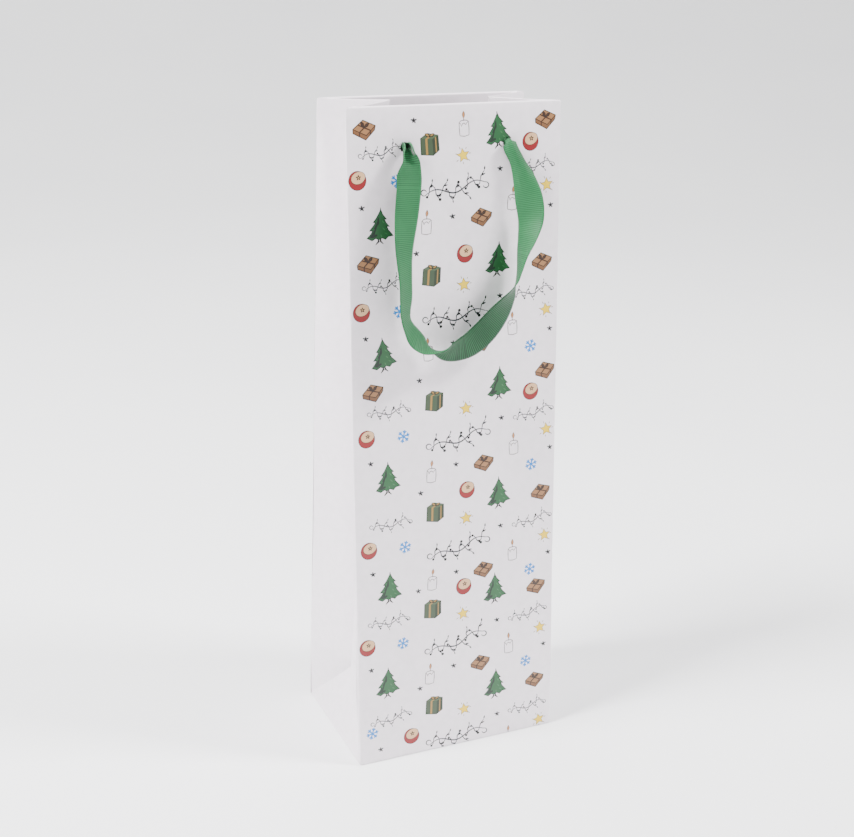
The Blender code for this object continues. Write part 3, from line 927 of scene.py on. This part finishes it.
def wall_outline(section):
    """The front's outline on the flat sheet: full width up to the mouth, then the narrower hem."""
    full = HALF_WIDTH - CORNER_REACH + CORNER_LENGTH
    right = (
        (full, section.low), (full, HEIGHT - 0.0007), (HALF_WIDTH - 0.0014, HEIGHT - 0.0002),
        (HALF_WIDTH - 0.0065, section.hem), (WALL_HEM_HALF, section.hem + 0.006),
        (WALL_HEM_HALF, section.end),
    )
    return list(right) + [(-x, t) for x, t in reversed(right)]


def wall_blank(section):
    """The flat printed wall, which the front and the back share."""
    limit = HALF_WIDTH - CORNER_REACH
    columns = [limit * i / 15 for i in range(-15, 16)]
    for i in range(1, 6):
        columns += [limit + CORNER_LENGTH * i / 6, -limit - CORNER_LENGTH * i / 6]
    return triangulated(wall_outline(section), columns, section.rows(0.004), winter_print(section))


def make_wall(side, is_back, blank, section, materials):
    sheet = paper_sheet(
        f"{side}_wall_sheet", blank, section, wall_point, 1, lambda p: turned(p, is_back), materials
    )
    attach(sheet, f"{side}_panel")
    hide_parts(f"{side}_panel", f"{side}_hem")


def gusset_outline(section):
    return [
        (CORNER_REACH, CORNER_REACH), (HALF_DEPTH, HALF_DEPTH), (HALF_DEPTH, section.hem),
        (GUSSET_HEM_END, section.hem + 0.001), (GUSSET_HEM_END, section.end),
        (GUSSET_HEM_START, section.end), (GUSSET_HEM_START, section.hem + 0.004),
        (0.0066, section.hem), (CORNER_REACH + 0.0004, HEIGHT), (CORNER_REACH, HEIGHT - 0.0003),
    ]


def make_gusset_half(side, face, flip_x, flip_y, materials):
    """Half a gusset, bent softly across its slanting crease between its two flat triangles."""
    section = Section(GUSSET_HEM_STACK, foot=False)
    columns = [CORNER_REACH + (HALF_DEPTH - CORNER_REACH) * i / 14 for i in range(15)]
    blank = triangulated(gusset_outline(section), columns, section.rows(HALF_DEPTH / 10), ())
    sheet = paper_sheet(
        f"{side}_{face}_gusset_sheet", blank, section, gusset_point, -1,
        lambda p: mirrored(p, flip_x, flip_y), materials,
    )
    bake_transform(sheet)
    name = f"{side}_{face}_gusset"
    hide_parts(f"{name}_lower", f"{name}_upper", f"{name}_hem")


def make_foot(side, flip_x, materials):
    section = Section(GUSSET_HEM_STACK, lift=FOOT_LIFT)
    corner = HALF_DEPTH - CORNER_REACH
    outline = [
        (-corner, section.low), (corner, section.low), (corner, CORNER_REACH), (0.0, HALF_DEPTH),
        (-corner, CORNER_REACH),
    ]
    columns = [corner * i / 12 for i in range(-12, 13)]
    blank = triangulated(outline, columns, section.rows(0.004), ())
    sheet = paper_sheet(
        f"{side}_foot_sheet", blank, section, foot_point, -1,
        lambda p: mirrored(p, flip_x, False), materials,
    )
    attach(sheet, f"{side}_foot")
    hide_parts(f"{side}_gusset_foot")


# ---- ribbon handles


def smooth_between(values, index, share):
    """Catmull-Rom value between values[index] and the next one."""
    last = len(values) - 1
    before, here = values[max(index - 1, 0)], values[index]
    there, after = values[index + 1], values[min(index + 2, last)]
    slope = (there - before) * share
    bend = (before * 2 - here * 5 + there * 4 - after) * share**2
    twist = (here * 3 - before - there * 3 + after) * share**3
    return 0.5 * (here * 2 + slope + bend + twist)


def ribbon_stations(route, is_back, step):
    """(place, width direction, spread, distance along) at even steps along a route."""
    height = HEIGHT - HOLE_BELOW_TOP
    origin = panel_point(0.0, 0.0)
    places = [panel_point(x * MM, height - down * MM, proud * MM) for x, down, proud, *_ in route]
    widths = [panel_point(x, -down, proud) - origin for _, _, _, x, down, proud, _ in route]
    spreads = [station[-1] for station in route]
    fine = []
    for index in range(len(route) - 1):
        for part in range(FINE_STEPS):
            share = part / FINE_STEPS
            width = smooth_between(widths, index, share).normalized()
            spread = smooth_between(spreads, index, share)
            fine.append((smooth_between(places, index, share), width, spread))
    fine.append((places[-1], widths[-1].normalized(), spreads[-1]))
    stations = []
    travelled = 0.0
    due = 0.0
    for (place, width, spread), (after, *_) in zip(fine, fine[1:] + fine[-1:]):
        if travelled >= due:
            stations.append((turned(place, is_back), turned(width, is_back), spread, travelled))
            due += step
        travelled += (after - place).length
    return stations


def ribbon_strip(stations, cup, across_steps):
    """A woven strip along stations, as (vertices, faces, painted light and shade of each vertex).

    cup(share of the way along) says to which side its edges curl. Where it isn't spread to its full
    width it is rolled and pleated.
    """
    verts = []
    painted_light_values = []
    total = stations[-1][3]
    for back in (1, -1):
        for index, (place, width, spread, travelled) in enumerate(stations):
            before = stations[max(index - 1, 0)][0]
            after = stations[min(index + 1, len(stations) - 1)][0]
            along = (after - before).normalized()
            width = (width - along * width.dot(along)).normalized()
            normal = along.cross(width)
            bunched = max(0.0, 1 - spread)
            turn = CURL + ROLL * bunched**1.1
            radius = RIBBON_WIDTH / 2 * spread / math.sin(min(turn, math.pi / 2))
            curl = cup(travelled / total)
            wave = math.cos(2 * math.pi * travelled / RIB_PITCH)
            for j in range(across_steps + 1):
                side = 2 * j / across_steps - 1
                angle = turn * side
                pleat = PLEAT * bunched * math.cos(4.5 * math.pi * side)
                out = (radius + pleat) * (1 - math.cos(angle)) * curl + pleat * 0.7
                selvedge = 1 - max(0.0, abs(side) - (1 - SELVEDGE)) / SELVEDGE
                rib = RIB_HEIGHT * wave * (0.35 + 0.65 * selvedge)
                skin = back * (RIBBON_THICKNESS / 2 * (0.7 + 0.3 * selvedge) + rib * 0.5)
                aside = (radius + pleat) * math.sin(angle)
                verts.append(place + width * aside + normal * (out + skin))
                # Painted shade: the ribbon's other face is made darker in its colour
                shade = BACK_FACE_PAINTED_SHADE if back < 0 else 0.0
                # Painted highlight on the ribs' crests and painted shade in their valleys, weaker at
                # the selvedge
                painted_light_values.append(0.5 + 0.5 * wave * selvedge - shade)
    row = across_steps + 1
    count = len(stations) * row
    faces = []
    for i in range(len(stations) - 1):
        for j in range(across_steps):
            a = i * row + j
            faces.append((a, a + row, a + row + 1, a + 1))
            faces.append((count + a, count + a + 1, count + a + row + 1, count + a + row))
        left, right = i * row, i * row + across_steps
        faces.append((left, count + left, count + left + row, left + row))
        faces.append((right, right + row, count + right + row, count + right))
    for i in (0, len(stations) - 1):
        for j in range(across_steps):
            a = i * row + j
            faces.append((a, a + 1, count + a + 1, count + a))
    return verts, faces, painted_light_values


def woven_object(name, strip, material):
    """An object of a woven strip, with the painted light and shade attribute that the ribbon's
    material reads.
    """
    verts, faces, painted_light_values = strip
    mesh = bpy.data.meshes.new(name)
    mesh.from_pydata(verts, [], faces)
    painted_light = mesh.attributes.new("painted_light", "FLOAT", "POINT")
    painted_light.data.foreach_set("value", painted_light_values)
    face_outwards(mesh)
    return new_object(name, mesh, [material])


def make_ribbon(side, is_back, material):
    stations = ribbon_stations(RIBBON_ROUTE, is_back, RIB_PITCH / 4)

    def cup(share):
        """The left end opens outwards, the right one towards the bag, and the rest is flatter."""
        lessened = 0.3 if 0.35 < share < 0.65 else 1.0
        return lessened * math.cos(math.pi * share)

    ribbon = woven_object(f"{side}_ribbon", ribbon_strip(stations, cup, 12), material)
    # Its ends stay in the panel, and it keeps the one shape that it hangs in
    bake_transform(ribbon)
    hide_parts(f"{side}_handle_ribbon")


def knot_route():
    """An overhand knot with a short tail, as a ribbon's route about its hole."""
    route = [(0.0, 0.2, -3.0, 1.0, 0.0, 0.0, 0.22)]
    for i in range(KNOT_STEPS + 1):
        angle = 2 * math.pi * (0.04 + 0.92 * i / KNOT_STEPS)
        x = 1.55 * (math.sin(angle) + 1.25 * math.sin(2 * angle))
        down = -1.55 * (math.cos(angle) - 1.25 * math.cos(2 * angle)) + 0.6
        deep = -6.0 - 1.35 * math.sin(3 * angle)
        route.append((x, down, deep, 0.25 * math.sin(angle), 0.2, 1.0, 0.26))
    tail = [
        (1.4, 6.5, -7.0, 0.9, 0.1, 0.4, 0.45),
        (2.6, 11.0, -5.6, 1.0, -0.2, 0.1, 0.7),
        (3.4, 16.5, -4.6, 1.0, -0.25, 0.0, 0.85),
    ]
    return route + tail


def make_knot(side, word, offset, is_back, material):
    flip = -1.0 if offset > 0 else 1.0
    route = [
        (offset / MM + flip * x, down, proud, flip * wide, low, out, spread)
        for x, down, proud, wide, low, out, spread in knot_route()
    ]
    stations = ribbon_stations(route, is_back, RIB_PITCH / 3)
    strip = ribbon_strip(stations, lambda share: 1.0, 10)
    knot = woven_object(f"{side}_{word}_ribbon_knot", strip, material)
    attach(knot, f"{side}_panel")
    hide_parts(f"{side}_{word}_knot")


# ---- stage

CAMERA_TURN = math.radians(23.8)
CAMERA_PITCH = math.radians(19.5)
CAMERA_ROLL = math.radians(0.99)
CAMERA_DISTANCE = 0.778
CAMERA_TARGET = Vector((-0.004, 0.0, 0.1848))
CAMERA_LENS = 59.02

FLOOR_FLAT = 1.5  # radius of the flat part
FLOOR_REACH = 8.0
FLOOR_RISE = 0.14  # height at a metre past the flat part, growing with the square
FLOOR_RINGS = 40
FLOOR_SIDES = 96
WORLD_STRENGTH = 0.42


def make_camera():
    data = bpy.data.cameras.new("camera")
    data.lens = CAMERA_LENS
    data.sensor_width = 36.0
    data.sensor_fit = "HORIZONTAL"
    camera = new_object("camera", data)
    level = math.cos(CAMERA_PITCH)
    across, along = -math.sin(CAMERA_TURN) * level, -math.cos(CAMERA_TURN) * level
    back = Vector((across, along, math.sin(CAMERA_PITCH)))
    right = Vector((0.0, 0.0, 1.0)).cross(back).normalized()
    up = back.cross(right)
    rolled_right = right * math.cos(CAMERA_ROLL) + up * math.sin(CAMERA_ROLL)
    rolled_up = up * math.cos(CAMERA_ROLL) - right * math.sin(CAMERA_ROLL)
    place = CAMERA_TARGET + back * CAMERA_DISTANCE
    axes = Matrix((rolled_right, rolled_up, back)).transposed().to_4x4()
    camera.matrix_world = Matrix.Translation(place) @ axes
    bpy.context.scene.camera = camera


def make_light(name, place, size, power, target=(0.0, 0.0, 0.18)):
    data = bpy.data.lights.new(name, "AREA")
    data.shape = "RECTANGLE"
    data.size, data.size_y = size
    data.energy = power
    light = new_object(name, data)
    aim = Vector(target) - Vector(place)
    light.location = place
    light.rotation_euler = aim.to_track_quat("-Z", "Y").to_euler()


def make_floor():
    """A pale studio bowl: flat under the bag and rising softly far off on every side."""
    solid = bmesh.new()
    rings = []
    for i in range(FLOOR_RINGS):
        reach = FLOOR_REACH * (i + 1) / FLOOR_RINGS
        height = FLOOR_RISE * max(0.0, reach - FLOOR_FLAT) ** 2
        angles = [2 * math.pi * j / FLOOR_SIDES for j in range(FLOOR_SIDES)]
        rings.append([solid.verts.new((*polar(reach, angle), height)) for angle in angles])
    solid.faces.new(rings[0])
    for low, high in zip(rings, rings[1:]):
        for j in range(FLOOR_SIDES):
            solid.faces.new((low[j - 1], high[j - 1], high[j], low[j]))
    mesh = bpy.data.meshes.new("floor")
    solid.to_mesh(mesh)
    solid.free()
    mesh.shade_smooth()
    nodes = Nodes("floor")
    nodes.feed(Base_Color=nodes.ramp(nodes.noise(3.0), FLOOR_SHADE, FLOOR_LIGHT))
    nodes.set(Roughness=0.9)
    new_object("floor", mesh, [nodes.material])


def make_world():
    world = bpy.data.worlds.new("studio")
    world.use_nodes = True
    sky = world.node_tree.nodes["Background"]
    sky.inputs["Color"].default_value = (1.0, 1.0, 1.0, 1.0)
    sky.inputs["Strength"].default_value = WORLD_STRENGTH
    bpy.context.scene.world = world


# ---- the whole bag


def finish_cad_nodes(white, card):
    """The flat pieces of card and paper that the frame already has right."""
    flaps = ("bottom_front_flap", "bottom_back_flap", "bottom_left_tab", "bottom_right_tab")
    for name in (*flaps, "seam_flap"):
        frame["nodes"][name].data.materials[0] = white
    for name in ("base_board", "front_top_board", "back_top_board"):
        frame["nodes"][name].data.materials[0] = card


def make_bag():
    white = make_paper("white_paper", PAPER_ROUGHNESS)
    printed = {"paper": make_paper("printed_paper", PRINT_ROUGHNESS)}
    for name in INKS:
        printed[name] = make_ink(name)
    card = make_card("grey_card")
    ribbon = make_ribbon_material("green_grosgrain")
    finish_cad_nodes(white, card)
    section = Section(WALL_HEM_STACK)
    blank = wall_blank(section)
    for side, is_back in (("front", False), ("back", True)):
        make_wall(side, is_back, blank, section, printed)
        make_ribbon(side, is_back, ribbon)
        for word, offset in (("left", -HOLE_SPACING / 2), ("right", HOLE_SPACING / 2)):
            make_knot(side, word, offset, is_back, ribbon)
    for side, flip_x in (("left", False), ("right", True)):
        make_foot(side, flip_x, {"paper": white})
        make_gusset_half(side, "front", flip_x, False, {"paper": white})
        make_gusset_half(side, "back", flip_x, True, {"paper": white})


make_bag()
make_floor()
make_world()
make_light("key", (0.98, -0.56, 1.40), (0.30, 0.30), 44.0)
make_light("side", (-1.15, -0.05, 1.5), (0.5, 0.5), 88.0)
make_light("top", (0.0, 2.0, 3.0), (3.5, 3.5), 130.0, (0.0, 2.6, 0.0))
make_camera()
